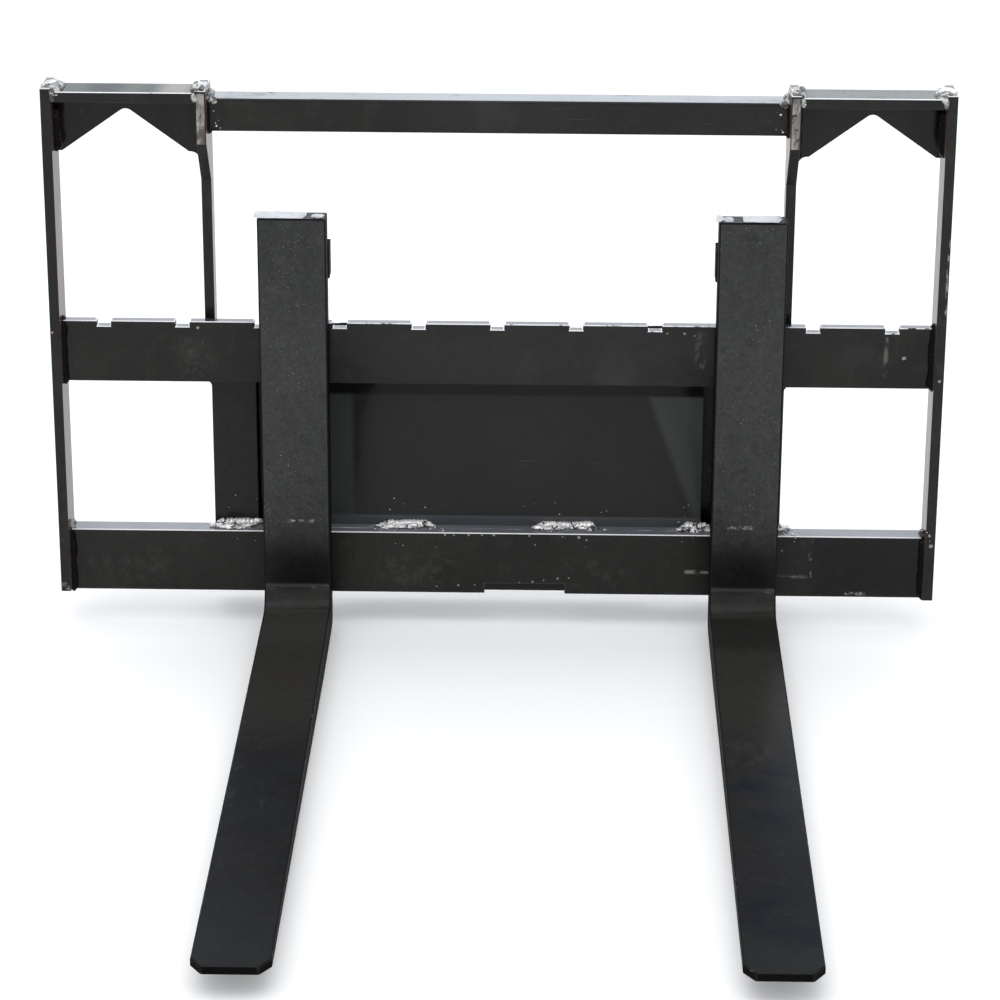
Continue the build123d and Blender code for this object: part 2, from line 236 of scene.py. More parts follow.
def paint_material(
    name,
    base,
    film,
    dust,
    gloss,
    index,
    speckle=0.0,
    clean_below=None,
    marks=(),
    mark_colour=(0.30, 0.29, 0.27),
    smears=(),
    orange_peel=0.25,
    haze_share=0.55,
    mottle=0.0,
):
    """Black enamel: slow colour drift, a thin film of dust, rubbed marks, specks and orange peel.

    gloss is the least and the greatest roughness. clean_below is a pair of heights over which
    the specks and pale stains come in.
    """
    graph = Graph(name)
    drift = graph.noise(5.0, 4.0, 0.6, 0.6)
    cloud = graph.noise(26.0, 5.0, 0.65, 0.4)
    grain = graph.noise(900.0, 2.0, 0.6)
    runs = graph.noise(1.0, 5.0, 0.6, 0.2, graph.moved(stretch=(90.0, 90.0, 5.0)))
    colour = graph.mix(graph.band(drift, 0.35, 0.7), base, film)
    haze = graph.times(graph.band(cloud, 0.48, 0.78), graph.band(runs, 0.3, 0.75))
    colour = graph.mix(graph.times(haze, haze_share), colour, dust)
    colour = graph.mix(graph.band(grain, 0.35, 0.75, 0.0, 0.35), colour, film)
    rough = graph.band(graph.calc("ADD", haze, drift), 0.3, 1.3, gloss[0], gloss[1])
    for smear in smears:
        colour = graph.mix(smear_mask(graph, smear), colour, smear[-1])
    if mottle:
        clean = 1.0
        if clean_below:
            clean = graph.band(graph.axis_part(graph.coordinates, 2), *clean_below, 0.3, 1.0)
        stains = graph.noise(48.0, 6.0, 0.78, 0.6)
        pits = graph.noise(260.0, 3.0, 0.7)
        light_stains = graph.band(stains, 0.50, 0.72, 0.0, mottle)
        dark_stains = graph.band(stains, 0.50, 0.28, 0.0, min(1.0, 1.6 * mottle))
        light_pits = graph.band(pits, 0.48, 0.70, 0.0, 0.7 * mottle)
        colour = graph.mix(graph.times(light_stains, clean), colour, dust)
        colour = graph.mix(dark_stains, colour, STAIN_BLACK)
        colour = graph.mix(graph.times(light_pits, clean), colour, dust)
        colour = graph.mix(graph.band(pits, 0.50, 0.30, 0.0, mottle), colour, PIT_BLACK)
    worn = [mark_mask(graph, mark) for mark in marks]
    if speckle:
        flecks = graph.band(graph.cells(80.0), 0.022 * speckle, 0.036 * speckle, 1.0, 0.0)
        fine = graph.band(graph.cells(260.0), 0.05 * speckle, 0.09 * speckle, 0.6, 0.0)
        specks = graph.times(graph.union([flecks, fine]), graph.band(cloud, 0.42, 0.62))
        if clean_below:
            height = graph.axis_part(graph.coordinates, 2)
            specks = graph.times(specks, graph.band(height, *clean_below))
        worn.append(specks)
    slanting = graph.moved(stretch=(8.0, 8.0, 700.0), turn=(0.1, 0.35, 0.2))
    scratch = graph.noise(1.0, 3.0, 0.5, 0.3, slanting)
    scratch_areas = graph.band(graph.noise(9.0, 2.0), 0.55, 0.7)
    scratches = graph.times(graph.band(scratch, 0.68, 0.74), scratch_areas)
    facing_up = graph.calc("ABSOLUTE", graph.axis_part(graph.normal, 2), 0.0)
    worn.append(graph.times(scratches, 0.3, graph.band(facing_up, 0.2, 0.5, 1.0, 0.0)))
    wear = graph.union(worn)
    colour = graph.mix(wear, colour, mark_colour)
    rough = graph.calc("ADD", rough, graph.times(wear, 0.2), clamp=True)
    peel = graph.noise(330.0, 2.0, 0.5)
    dents = graph.noise(14.0, 2.0, 0.5)
    bumps = graph.bump(peel, orange_peel, 0.00025)
    bumps = graph.bump(dents, 0.22, 0.002, bumps)
    graph.set(Base_Color=colour, Roughness=rough, IOR=index, Normal=bumps, Metallic=0.0)
    return graph.material


def edge_wear_and_highlight_material(name, bright, dark, threshold, shine=0.0, index=1.28):
    """Rounded-over steel edge: rubbed through to grey primer and steel in broken lengths; a painted
    highlight keeps the pale colour mostly to edges that face up.
    """
    graph = Graph(name)
    breaks = graph.noise(75.0, 5.0, 0.7, 0.4)
    slow = graph.noise(7.0, 2.0)
    rubbed = graph.calc("ADD", breaks, graph.times(slow, 0.6))
    # Painted highlight: only edges that face up, where the sky light falls, take the full pale
    # colour.
    upward = graph.band(graph.axis_part(graph.normal, 2), 0.25, 0.6)
    mask = graph.times(
        graph.band(rubbed, threshold, threshold + 0.16),
        graph.band(upward, 0.0, 1.0, 0.015, 1.0),
    )
    colour = graph.mix(mask, dark, bright)
    graph.set(
        Base_Color=colour,
        Metallic=graph.times(mask, shine),
        Roughness=graph.band(breaks, 0.3, 0.8, 0.28, 0.5),
        IOR=index,
    )
    return graph.material


def bare_material(name):
    """Sawn plate edge left half bare: brownish grey steel with paint overspray."""
    graph = Graph(name)
    patches = graph.noise(34.0, 5.0, 0.65, 0.6)
    lines = graph.noise(1.0, 4.0, 0.7, 0.2, graph.moved(stretch=(160.0, 160.0, 16.0)))
    steel = graph.mix(graph.band(patches, 0.42, 0.60), (0.085, 0.074, 0.066), (0.38, 0.35, 0.33))
    steel = graph.mix(graph.band(lines, 0.48, 0.72), steel, (0.060, 0.054, 0.050))
    steel = graph.mix(graph.band(patches, 0.62, 0.67), steel, (0.02, 0.02, 0.02))
    graph.set(
        Base_Color=steel,
        Metallic=0.35,
        Roughness=graph.band(patches, 0.2, 0.8, 0.35, 0.6),
        IOR=1.5,
        Normal=graph.bump(lines, 0.4, 0.0004),
    )
    return graph.material


def weld_material(name, light, dark, spread, index=1.5, crisp=0.22, relief=0.8, metal=0.35):
    """Fresh weld metal: silver crests, soot in the hollows."""
    graph = Graph(name)
    soot = graph.noise(160.0, 4.0, 0.7, 0.8)
    patches = graph.noise(60.0, 3.0, 0.6)
    mask = graph.band(graph.calc("ADD", soot, patches), spread, spread + crisp)
    graph.set(
        Base_Color=graph.mix(mask, dark, light),
        Metallic=graph.times(mask, metal),
        Roughness=graph.band(soot, 0.3, 0.8, 0.16, 0.42),
        IOR=index,
        Normal=graph.bump(soot, relief, 0.0008),
    )
    return graph.material


def plated_material(name, light, dark):
    """Zinc-plated steel with handling stains."""
    graph = Graph(name)
    stain = graph.noise(120.0, 4.0, 0.6, 0.5)
    turning = graph.noise(1.0, 3.0, 0.6, 0.0, graph.moved(stretch=(60.0, 60.0, 1500.0)))
    graph.set(
        Base_Color=graph.mix(graph.band(stain, 0.35, 0.75), light, dark),
        Metallic=1.0,
        Roughness=graph.band(stain, 0.2, 0.8, 0.25, 0.5),
        Normal=graph.bump(turning, 0.25, 0.0002),
    )
    return graph.material


def film_material(name, colour, rough):
    """Blank adhesive film: off-white, slightly creased and grubby."""
    graph = Graph(name)
    crease = graph.noise(45.0, 4.0, 0.6, 1.2)
    grime = graph.noise(110.0, 5.0, 0.7)
    tint = graph.mix(graph.band(grime, 0.5, 0.8, 0.0, 0.7), colour, (0.42, 0.40, 0.37))
    graph.set(
        Base_Color=tint,
        Roughness=graph.band(crease, 0.3, 0.7, rough, rough + 0.25),
        IOR=1.45,
        Normal=graph.bump(crease, 0.6, 0.0008),
    )
    return graph.material


def floor_material():
    graph = Graph("floor_white")
    tone = graph.noise(0.6, 3.0)
    graph.set(
        Base_Color=graph.mix(graph.band(tone, 0.3, 0.7), (0.92, 0.92, 0.92), (0.94, 0.94, 0.94)),
        Roughness=0.9,
        IOR=1.2,
        Emission_Color=(0.9, 0.9, 0.9),
        Emission_Strength=0.16,
    )
    return graph.material


FORK_CENTRES = {"left": -283.5, "right": 352.5}
SHANK_TOP = 568.0
ALL_DEPTHS = (-300, 400)
ALL_HEIGHTS = (-900, 900)

BLACK = (0.0065, 0.0062, 0.0060)
BLACK_FILM = (0.0125, 0.0120, 0.0110)
DUST = (0.050, 0.048, 0.043)


def scuff(x_range, y_range, z_range, soft, broken, strength=1.0):
    """A broken rubbed patch inside a box, its streaks stretched by the three noise scales."""
    low = place(x_range[0], y_range[0], z_range[0])
    high = place(x_range[1], y_range[1], z_range[1])
    return ("slab", low, high, soft * MM, broken, strength)


def wash(x_range, y_range, z_range, soft, tint):
    """A soft-edged change of tone inside a box."""
    low = place(x_range[0], y_range[0], z_range[0])
    high = place(x_range[1], y_range[1], z_range[1])
    return ("wash", low, high, soft * MM, tint)


def smudge(x, y, z, radius, tint):
    """A ragged round smudge."""
    return ("smudge", place(x, y, z), radius * MM, tint)


def chip(x, y, z, radius):
    """A small chip or speck in the paint."""
    return ("chip", place(x, y, z), radius * MM)


def sheen_wedge(x, z, slope, soft, ceiling, tint):
    """A change of tone on the +X side of a leaning line through (x, z), below a ceiling height."""
    through = place(x, 0, z)
    line = through.x + slope * through.z
    top = place(0, 0, ceiling).z
    return ("wedge", slope, line - soft * MM, line + soft * MM, (top - 2 * MM, top + 2 * MM), tint)


frame_marks = [
    chip(570, 0, 363, 3.5),
    chip(616, -20, 104, 2.4),
    chip(619, -20, 88, 3.0),
    chip(619, -20, 336, 2.4),
    chip(-622, -20, 395, 2.0),
    chip(-420, 0, 398, 2.5),
    scuff((542, 547), (-1, 1), (335, 393), 2.0, (160.0, 160.0, 45.0), 0.5),
    scuff((-446, -406), (-1, 1), (330, 388), 12.0, (150.0, 150.0, 110.0), 0.16),
    scuff((-626, -610), (-21, -18), (4, 18), 3.0, (120.0, 120.0, 120.0), 0.9),
    scuff((621.5, 628), (-21, 30), (415, 545), 1.5, (90.0, 90.0, 30.0), 1.6),
    chip(238, 0, 396, 1.4),
    chip(262, 0, 396, 2.0),
    chip(276, 0, 393, 1.3),
    scuff((278, 292), (-1, 1), (345, 398), 4.0, (160.0, 160.0, 60.0), 0.35),
    scuff((448, 452), (-1, 1), (30, 92), 1.5, (160.0, 160.0, 50.0), 0.9),
    scuff((270, 310), (-1, 1), (34, 39), 2.0, (60.0, 60.0, 160.0), 0.9),
    scuff((402, 446), (-1, 1), (29, 33), 2.0, (60.0, 60.0, 160.0), 0.5),
    chip(-402, 66, 299, 1.6),
    chip(-386, 66, 299, 1.4),
    scuff((500, 530), (-1, 1), (3, 8), 1.5, (240.0, 240.0, 240.0), 0.9),
    scuff((95, 190), (-40, 40), (8, 60), 12.0, (60.0, 60.0, 60.0), 0.035),
    scuff((-170, -60), (-40, 40), (10, 60), 12.0, (60.0, 60.0, 60.0), 0.04),
    scuff((-560, -470), (-40, 40), (10, 60), 14.0, (70.0, 70.0, 70.0), 0.03),
]
# Lighter and darker patches of tone over the fronts of the bars, with round lighter patches mostly
# on the upper bar.
front_tone_patches = [
    wash((-230, 100), ALL_DEPTHS, (322, 400), 70.0, (0.0205, 0.0202, 0.0190)),
    wash((100, 330), ALL_DEPTHS, (322, 400), 70.0, (0.0215, 0.0212, 0.0200)),
    wash((-120, 130), ALL_DEPTHS, (670, 740), 60.0, (0.0195, 0.0194, 0.0182)),
    wash((130, 400), ALL_DEPTHS, (670, 740), 60.0, (0.0150, 0.0149, 0.0138)),
    wash((455, 611), (-10, 10), (0, 96), 20.0, (0.0040, 0.0040, 0.0042)),
    wash((-560, -330), (-10, 10), (14, 80), 30.0, (0.0125, 0.0123, 0.0112)),
    smudge(168, 0, 336, 44, (0.0270, 0.0265, 0.0250)),
    smudge(40, 0, 350, 30, (0.0230, 0.0225, 0.0210)),
    smudge(-60, 0, 342, 34, (0.0190, 0.0188, 0.0176)),
    smudge(-10, 4, 712, 46, (0.0260, 0.0258, 0.0245)),
    smudge(-428, 0, 362, 34, (0.0220, 0.0216, 0.0200)),
    smudge(505, 0, 366, 40, (0.0200, 0.0197, 0.0184)),
]
# Finger marks on the left end of the lower bar
for finger_x, finger_z in ((-582, 43), (-559, 46), (-535, 44), (-512, 39)):
    front_tone_patches.append(smudge(finger_x, 0, finger_z, 12, (0.0215, 0.0212, 0.0198)))
# Small chips: under the front edge of the lower bar, and rising over its removal gap
for chip_x, chip_z, chip_size in (
    (-74, 90, 1.3), (-61, 89.5, 0.9), (-40, 90.5, 1.5), (-21, 90, 1.0), (-4, 90, 1.3),
    (47, 89.5, 1.0), (118, 88, 1.6), (129, 84, 1.0), (-86, 10, 0.8), (-55, 12, 1.0),
    (-31, 13, 0.7), (-12, 13.5, 0.9), (9, 15, 1.1), (33, 17, 0.8), (52, 18.5, 1.1),
    (68, 21, 0.8), (88, 24, 1.2), (104, 25, 0.8),
):
    frame_marks.append(chip(chip_x, 0, chip_z, chip_size * 1.5))
frame_paint = paint_material(
    "frame_black", (0.0100, 0.0098, 0.0088), (0.0170, 0.0166, 0.0150), DUST, (0.14, 0.30), 1.26,
    marks=frame_marks, smears=front_tone_patches, orange_peel=0.2, haze_share=0.5, mottle=0.14,
)
# Painted shade and painted reflection: side faces get their own darker, less reflective copy of the
# black paint.
side_paint = paint_material(
    "frame_side_shade_and_sheen_black", BLACK, BLACK_FILM, DUST, (0.16, 0.24), 1.13, orange_peel=0.1, haze_share=0.2
)
# Painted reflection: the warm sheen tint stands in for the pinkish reflection the side faces show
# at a grazing view.
side_shader = side_paint.node_tree.nodes["Principled BSDF"]
side_shader.inputs["Sheen Weight"].default_value = 0.12
side_shader.inputs["Sheen Roughness"].default_value = 0.45
side_shader.inputs["Sheen Tint"].default_value = (1.0, 0.54, 0.40, 1.0)
# The lower bar's top face is a pale bluish grey: partly a dust film and partly painted light that
# stands in for the sky it reflects and lifts the shade in its corner against the panel.
ledge_paint = paint_material(
    "ledge_dust_and_skylight_black", (0.120, 0.128, 0.145), (0.180, 0.190, 0.210), (0.24, 0.245, 0.26),
    (0.16, 0.30), 1.22,
    marks=[scuff((-290, 290), (15, 18), (90, 96), 1.0, (9.0, 120.0, 120.0), 0.9)], orange_peel=0.2,
    mark_colour=(0.62, 0.64, 0.68), haze_share=0.4,
)
# Painted light: the top faces of the bars and tubes get a lighter, slightly bluish copy of the
# black paint that stands in for the bright sky they reflect.
top_paint = paint_material(
    "top_black_painted_skylight", (0.020, 0.021, 0.023), (0.040, 0.042, 0.046), (0.12, 0.122, 0.13),
    (0.13, 0.34), 1.21, orange_peel=0.25, haze_share=0.5,
)
# Painted light on the glossy centre panel: two leaning wedges and a strip on its left are painted
# reflections, the dark band under the upper bar is painted shadow, and the pale band at its foot is
# a painted reflection of the ledge.
panel_painted_light = [
    sheen_wedge(212, 300, 0.368, 7.0, 292, (0.0430, 0.0475, 0.0460)),
    sheen_wedge(258, 300, 0.380, 16.0, 292, (0.0560, 0.0620, 0.0600)),
    wash((-260, -206), ALL_DEPTHS, (60, 300), 5.0, (0.0380, 0.0405, 0.0405)),
    wash((-300, 300), ALL_DEPTHS, (291, 330), 3.0, (0.0050, 0.0052, 0.0052)),
    wash((-310, 310), ALL_DEPTHS, (60, 107), 2.0, (0.0620, 0.0680, 0.0740)),
]
panel_paint = paint_material(
    "panel_black", (0.0150, 0.0150, 0.0140), (0.0190, 0.0188, 0.0177), (0.028, 0.028, 0.027),
    (0.05, 0.10), 1.25,
    smears=panel_painted_light, orange_peel=0.05, haze_share=0.3, mottle=0.09,
)
shank_washes = [
    wash((-500, 500), ALL_DEPTHS, (140, 430), 60.0, (0.0400, 0.0402, 0.0404)),
    wash((-500, 500), ALL_DEPTHS, (-60, 90), 34.0, (0.0045, 0.0046, 0.0047)),
    # Below the heel line a brown tone, lighter than the dark band above it: partly a dust film and
    # partly painted light that the upturned curve of the heel catches.
    wash((-500, 500), ALL_DEPTHS, (-60, 21), 3.0, (0.0215, 0.0206, 0.0190)),
    # Painted highlight: a pale line along the heel bend.
    wash((-500, 500), ALL_DEPTHS, (22, 26), 3.5, (0.0660, 0.0660, 0.0650)),
]
blade_smears = [
    wash((-500, 500), (-460, 50), ALL_HEIGHTS, 110.0, (0.0300, 0.0290, 0.0268)),
    wash((-500, 500), (-170, 50), ALL_HEIGHTS, 60.0, (0.0385, 0.0375, 0.0350)),
    wash((-500, 500), (-1300, -980), ALL_HEIGHTS, 60.0, (0.0215, 0.0218, 0.0232)),
    wash((280, 420), (-180, -60), ALL_HEIGHTS, 24.0, (0.0215, 0.0210, 0.0198)),
]
BLUE_STAINS = ((-1010, 20, 60), (-960, -26, 66), (-700, 15, 60), (-620, -10, 45), (-575, 18, 36))
STAIN_TINTS = {"left": (0.0185, 0.0196, 0.0232), "right": (0.0135, 0.0152, 0.0200)}
for label, blade_x in FORK_CENTRES.items():
    for along, across, size in BLUE_STAINS:
        blade_smears.append(smudge(blade_x + across, along, -8, size, STAIN_TINTS[label]))
fork_marks = [
    scuff((-298, -258), (-38, -36), (121, 125), 1.5, (160.0, 160.0, 260.0), 0.7),
    scuff((328, 366), (-38, -36), (117, 122), 1.5, (160.0, 160.0, 260.0), 0.7),
    # Painted highlight: broken pale streaks along each heel bend, where it catches the light.
    scuff((-262, -236), (-60, -30), (19.0, 24.5), 3.0, (70.0, 70.0, 200.0), 0.16),
    scuff((374, 400), (-60, -30), (19.0, 24.5), 3.0, (70.0, 70.0, 200.0), 0.16),
]
blade_marks = [
    scuff((-330, -262), (-700, -640), (-12, -4), 14.0, (60.0, 22.0, 60.0), 0.07),
    scuff((310, 372), (-560, -480), (-12, -4), 14.0, (60.0, 22.0, 60.0), 0.07),
]
CLEAN_HEEL = (place(0, 0, 70).z, place(0, 0, 130).z)
fork_paint = paint_material(
    "fork_black", (0.0280, 0.0283, 0.0286), (0.0360, 0.0362, 0.0362), (0.095, 0.096, 0.096),
    (0.30, 0.46), 1.26, speckle=1.6, clean_below=CLEAN_HEEL, marks=fork_marks + blade_marks,
    mark_colour=(0.46, 0.46, 0.45), smears=shank_washes, orange_peel=0.35, haze_share=0.2,
    mottle=0.22,
)
# Painted shade: the forks' upward faces get their own darker, less reflective copy of the fork
# paint; it also carries the dust film near the heel and the stains.
blade_paint = paint_material(
    "blade_top_shaded_black", (0.0165, 0.0168, 0.0178), (0.0205, 0.0205, 0.0210), (0.050, 0.049, 0.047),
    (0.24, 0.36), 1.06, speckle=0.35, marks=blade_marks, smears=blade_smears, orange_peel=0.2,
    haze_share=0.3, mottle=0.13,
)
# Painted shade: the forks' side faces and the fronts of their tips, and the sides and tops of the
# parts behind, get a much darker, less reflective copy of the fork paint.
fork_side_paint = paint_material(
    "fork_side_shaded_black", (0.0045, 0.0045, 0.0047), (0.0070, 0.0070, 0.0070), (0.02, 0.02, 0.02),
    (0.42, 0.55), 1.03, speckle=0.4, orange_peel=0.3, haze_share=0.3,
)
# Painted reflections: the greenish tone and the green, black and pale patches on the wing bars' top
# faces stand in for the surroundings they reflect.
wing_paint = paint_material(
    "wing_top_black_painted_reflections", (0.018, 0.022, 0.019), (0.050, 0.065, 0.050), (0.24, 0.25, 0.22),
    (0.10, 0.26), 1.055, orange_peel=0.25, haze_share=0.8, mottle=0.2,
    smears=[
        wash((-640, -562), ALL_DEPTHS, (700, 760), 14.0, (0.055, 0.075, 0.056)),
        wash((-558, -518), ALL_DEPTHS, (700, 760), 12.0, (0.010, 0.011, 0.012)),
        wash((-510, -488), ALL_DEPTHS, (700, 760), 14.0, (0.062, 0.084, 0.062)),
        wash((-462, -415), ALL_DEPTHS, (700, 760), 18.0, (0.27, 0.25, 0.22)),
        wash((415, 640), ALL_DEPTHS, (700, 760), 10.0, (0.17, 0.185, 0.17)),
    ],
)
hidden_paint = paint_material(
    "back_black", BLACK, BLACK_FILM, (0.07, 0.064, 0.055), (0.24, 0.42), 1.38,
    speckle=0.6, orange_peel=0.3,
)
EDGE_BLACK = (0.018, 0.018, 0.020)
# Edge wear and painted highlight: pale broken lines along the upward-facing edges of the frame and
# of the lower bar.
frame_edge_wear_and_highlight = edge_wear_and_highlight_material(
    "frame_edge_wear_and_highlight", (0.95, 0.96, 0.99), EDGE_BLACK, 0.56, shine=0.1, index=1.10
)
ledge_edge_wear_and_highlight = edge_wear_and_highlight_material(
    "ledge_edge_wear_and_highlight", (1.0, 1.0, 1.0), EDGE_BLACK, 0.30, shine=0.1, index=1.25
)
fork_edge = edge_wear_and_highlight_material(
    "fork_edge", (0.11, 0.11, 0.11), (0.012, 0.012, 0.013), 0.90, index=1.06
)
bare_steel = bare_material("bare_edge_steel")
weld_silver = weld_material(
    "weld_silver", (1.0, 0.98, 0.98), (0.02, 0.02, 0.023), 0.89, crisp=0.06, relief=0.7, metal=0.35
)
weld_half = weld_material(
    "weld_half_painted", (0.66, 0.65, 0.63), (0.030, 0.031, 0.033), 0.88,
    crisp=0.30, relief=0.35, metal=0.15,
)
weld_painted = weld_material(
    "weld_painted", (0.020, 0.020, 0.020), (0.006, 0.006, 0.006), 1.10,
    index=1.12, relief=0.5, metal=0.0,
)
zinc = plated_material("zinc_plate", (0.62, 0.61, 0.58), (0.33, 0.32, 0.29))
zinc_dark = plated_material("zinc_oversprayed", (0.050, 0.050, 0.050), (0.024, 0.024, 0.024))
label_film = film_material("label_film", (0.62, 0.63, 0.66), 0.35)

# ---------------------------------------------------------------- carried-over CAD nodes

TIP_FRONT = place(0, -1000, 0).y


def dress(node, paint, edge, width, segments=2, sides=None, tops=None):
    """Paint a CAD node, its side and top faces in their own paint, and round its edges. The side
    and top paints are lit and shaded copies of the node's paint: painted light and shade.
    """
    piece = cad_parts[node]
    mesh = piece.data
    mesh.materials.clear()
    for material in (paint, edge, sides or paint, tops or paint):
        mesh.materials.append(material)
    # Side faces, and the fronts of the fork tips, take the shaded copy; upward faces take their own
    # lit or shaded copy.
    for polygon in mesh.polygons:
        polygon.material_index = 0
        facing_front = polygon.normal.y < -0.5 and polygon.center.y < TIP_FRONT
        if abs(polygon.normal.x) > 0.9 or (sides is fork_side_paint and facing_front):
            polygon.material_index = 2
        elif polygon.normal.z > 0.9:
            polygon.material_index = 3
    weld = piece.modifiers.new("join", "WELD")
    weld.merge_threshold = 0.00002
    flat = piece.modifiers.new("flatten", "DECIMATE")
    flat.decimate_type = "DISSOLVE"
    flat.angle_limit = math.radians(0.5)
    bevel = piece.modifiers.new("edge_round", "BEVEL")
    bevel.width = width * MM
    bevel.segments = segments
    bevel.limit_method = "ANGLE"
    bevel.angle_limit = math.radians(40)
    bevel.material = 1
    bevel.harden_normals = True


HIDDEN_NODES = ("inner_rib", "outer_rib", "coupler", "top_hook", "bottom_hook", "lock_housing")
ZINC_NODES = ("lock_cap", "lock_spring", "lock_pin", "pull_handle", "roll_pin")
for node_name in sorted(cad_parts):
    if node_name.startswith("fork_"):
        dress(node_name, fork_paint, fork_edge, 2.2, 3, sides=fork_side_paint, tops=blade_paint)
    elif node_name.startswith(ZINC_NODES):
        zinc_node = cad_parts[node_name]
        zinc_node.data.materials.clear()
        zinc_node.data.materials.append(zinc_dark if node_name.startswith("lock_cap") else zinc)
    elif node_name == "centre_panel":
        dress(node_name, panel_paint, frame_edge_wear_and_highlight, 0.8)
    elif node_name.startswith(HIDDEN_NODES):
        dress(node_name, hidden_paint, fork_edge, 1.0, sides=fork_side_paint, tops=fork_side_paint)
    else:
        ledge, edge = top_paint, frame_edge_wear_and_highlight
        if node_name == "lower_fork_bar":
            ledge, edge = ledge_paint, ledge_edge_wear_and_highlight
        elif node_name.startswith("wing_bar"):
            ledge = wing_paint
        elif "upright" in node_name:
            ledge = side_paint
        rounding = 1.7 if "bar" in node_name or "tube" in node_name else 1.1
        dress(node_name, frame_paint, edge, rounding, sides=side_paint, tops=ledge)

# ---------------------------------------------------------------- built pieces


def finish_piece(mesh_builder, name, material, body, smooth=True):
    """Turn a bmesh into a named piece that rides on a body."""
    mesh = bpy.data.meshes.new(name)
    mesh_builder.to_mesh(mesh)
    mesh_builder.free()
    mesh.materials.append(material)
    if smooth:
        mesh.polygons.foreach_set("use_smooth", [True] * len(mesh.polygons))
    piece = bpy.data.objects.new(name, mesh)
    bpy.context.scene.collection.objects.link(piece)
    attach(piece, body)
    return piece


def join_rings(builder, rings):
    """Skin a row of equal rings and close both ends."""
    for first, second in zip(rings, rings[1:]):
        for side in range(len(first)):
            following = (side + 1) % len(first)
            builder.faces.new((first[side], first[following], second[following], second[side]))
    builder.faces.new(list(reversed(rings[0])))
    builder.faces.new(rings[-1])


def add_bead(builder, start, end, radius, seed, ripple=3.2):
    """One run of weld: overlapping crescent ripples along a straight seam, with rounded ends."""
    random_source = random.Random(seed)
    direction = end - start
    length = direction.length
    direction.normalize()
    across = direction.cross(Vector((0.31, 0.87, 0.38))).normalized()
    upward = direction.cross(across).normalized()
    steps = max(6, int(length / (0.9 * MM)))
    sides = 10
    offset = random_source.uniform(0, 40)
    rings = []
    for step in range(steps + 1):
        along = length * step / steps
        end_gap = min(along, length - along)
        taper = min(1.0, math.sqrt(max(end_gap, 0.0) / (radius * 1.2) + 0.04))
        jitter = 0.4 * noise.noise(Vector((along * 90, offset, 0)))
        wave = abs(math.sin(math.pi * (along / (ripple * MM)) + jitter))
        swell = 1.0 + 0.16 * wave + 0.22 * noise.noise(Vector((along * 70, offset, 5.0)))
        centre = start + direction * along
        centre += across * radius * 0.25 * noise.noise(Vector((along * 60, offset, 9.0)))
        ring = []
        for side in range(sides):
            angle = 2 * math.pi * side / sides
            crescent = direction * radius * 0.35 * math.cos(angle) * wave
            reach = radius * swell * taper
            point = centre + crescent
            point += across * math.cos(angle) * reach + upward * math.sin(angle) * reach
            ring.append(builder.verts.new(point))
        rings.append(ring)
    join_rings(builder, rings)


def add_blob(builder, centre, size, seed, rough=0.35):
    """A lump of weld metal or a spatter ball with an uneven skin."""
    reach = max(size)
    detail = 3 if reach > 4 * MM else (2 if reach > 1.2 * MM else 1)
    made = bmesh.ops.create_icosphere(builder, subdivisions=detail, radius=1.0)
    for vertex in made["verts"]:
        bulge = 1.0 + rough * noise.noise(vertex.co * 1.7 + Vector((seed * 3.1, seed, 0)))
        vertex.co = centre + Vector([part * bulge * scale for part, scale in zip(vertex.co, size)])


def spatter(builder, low, high, count, sizes, seed):
    """Small weld balls sitting on a face, thrown at random inside a box."""
    random_source = random.Random(seed)
    for index in range(count):
        centre = Vector([random_source.uniform(a, b) for a, b in zip(low, high)])
        radius = random_source.uniform(*sizes) * MM * random_source.choice((0.5, 0.7, 1.0))
        add_blob(builder, centre, (radius, radius, radius * 0.8), seed + index, 0.3)


# Seams that kept their paint: long runs at the joints of the frame
painted = bmesh.new()
seam_seed = 1
OUTER_SEAM_X = 611.0
for side in (-1, 1):
    wall = side * OUTER_SEAM_X
    seams = [
        (place(wall, 0, 314), place(wall, 0, 408), 7.0),
        (place(wall, 0, -2), place(wall, 0, 94), 7.0),
        (place(wall, 32, 318), place(wall, 32, 391), 5.0),
        (place(wall, 32, 16), place(wall, 32, 93), 5.0),
        (place(wall, 0, 93), place(wall, 32, 93), 4.0),
        (place(wall, 0, 407), place(wall, 16, 407), 4.0),
        (place(wall, 24, 650), place(wall, 24, 722), 6.0),
        # This wide dark bead also covers the upright's inner side face in the corner: partly a real
        # weld, partly painted shade.
        (place(wall, 8, 651), place(wall, 8, 720), 9.0),
        (place(side * 413, 25, 640), place(side * 413, 25, 722), 4.0),
        (place(side * 416, 25, 724), place(side * 608, 25, 724), 3.5),
        (place(side * 416, 33, 640), place(side * 416, 33, 722), 3.0),
        (place(side * 399, 50, 684), place(side * 399, 50, 722), 4.0),
        (place(side * 399, 6, 680), place(side * 399, 48, 680), 4.5),
        (place(side * 399, 4, 682), place(side * 399, 4, 722), 3.5),
        (place(side * 413, 34, 392), place(side * 413, 64, 392), 2.5),
        (place(side * 399, 33, 392), place(side * 413, 33, 392), 3.5),
        (place(side * 413, 33, 330), place(side * 413, 33, 388), 4.5),
        (place(side * 394, 40, 30), place(side * 394, 40, 110), 3.5),
        (place(side * 394, 40, 200), place(side * 394, 40, 290), 3.5),
        (place(side * 355, 66, 30), place(side * 355, 66, 120), 3.5),
        (place(side * 355, 66, 220), place(side * 355, 66, 310), 3.5),
        (place(side * 399, 66, 334), place(side * 399, 66, 345), 3.5),
    ]
    for start, end, radius in seams:
        seam_seed += 1
        add_bead(painted, start, end, radius * MM, seam_seed)
PANEL_SEAMS = ((28, 72, 345, 3.5, 0), (28, 66, 8, 3.0, 50), (25, 40, 391, 3.0, 90))
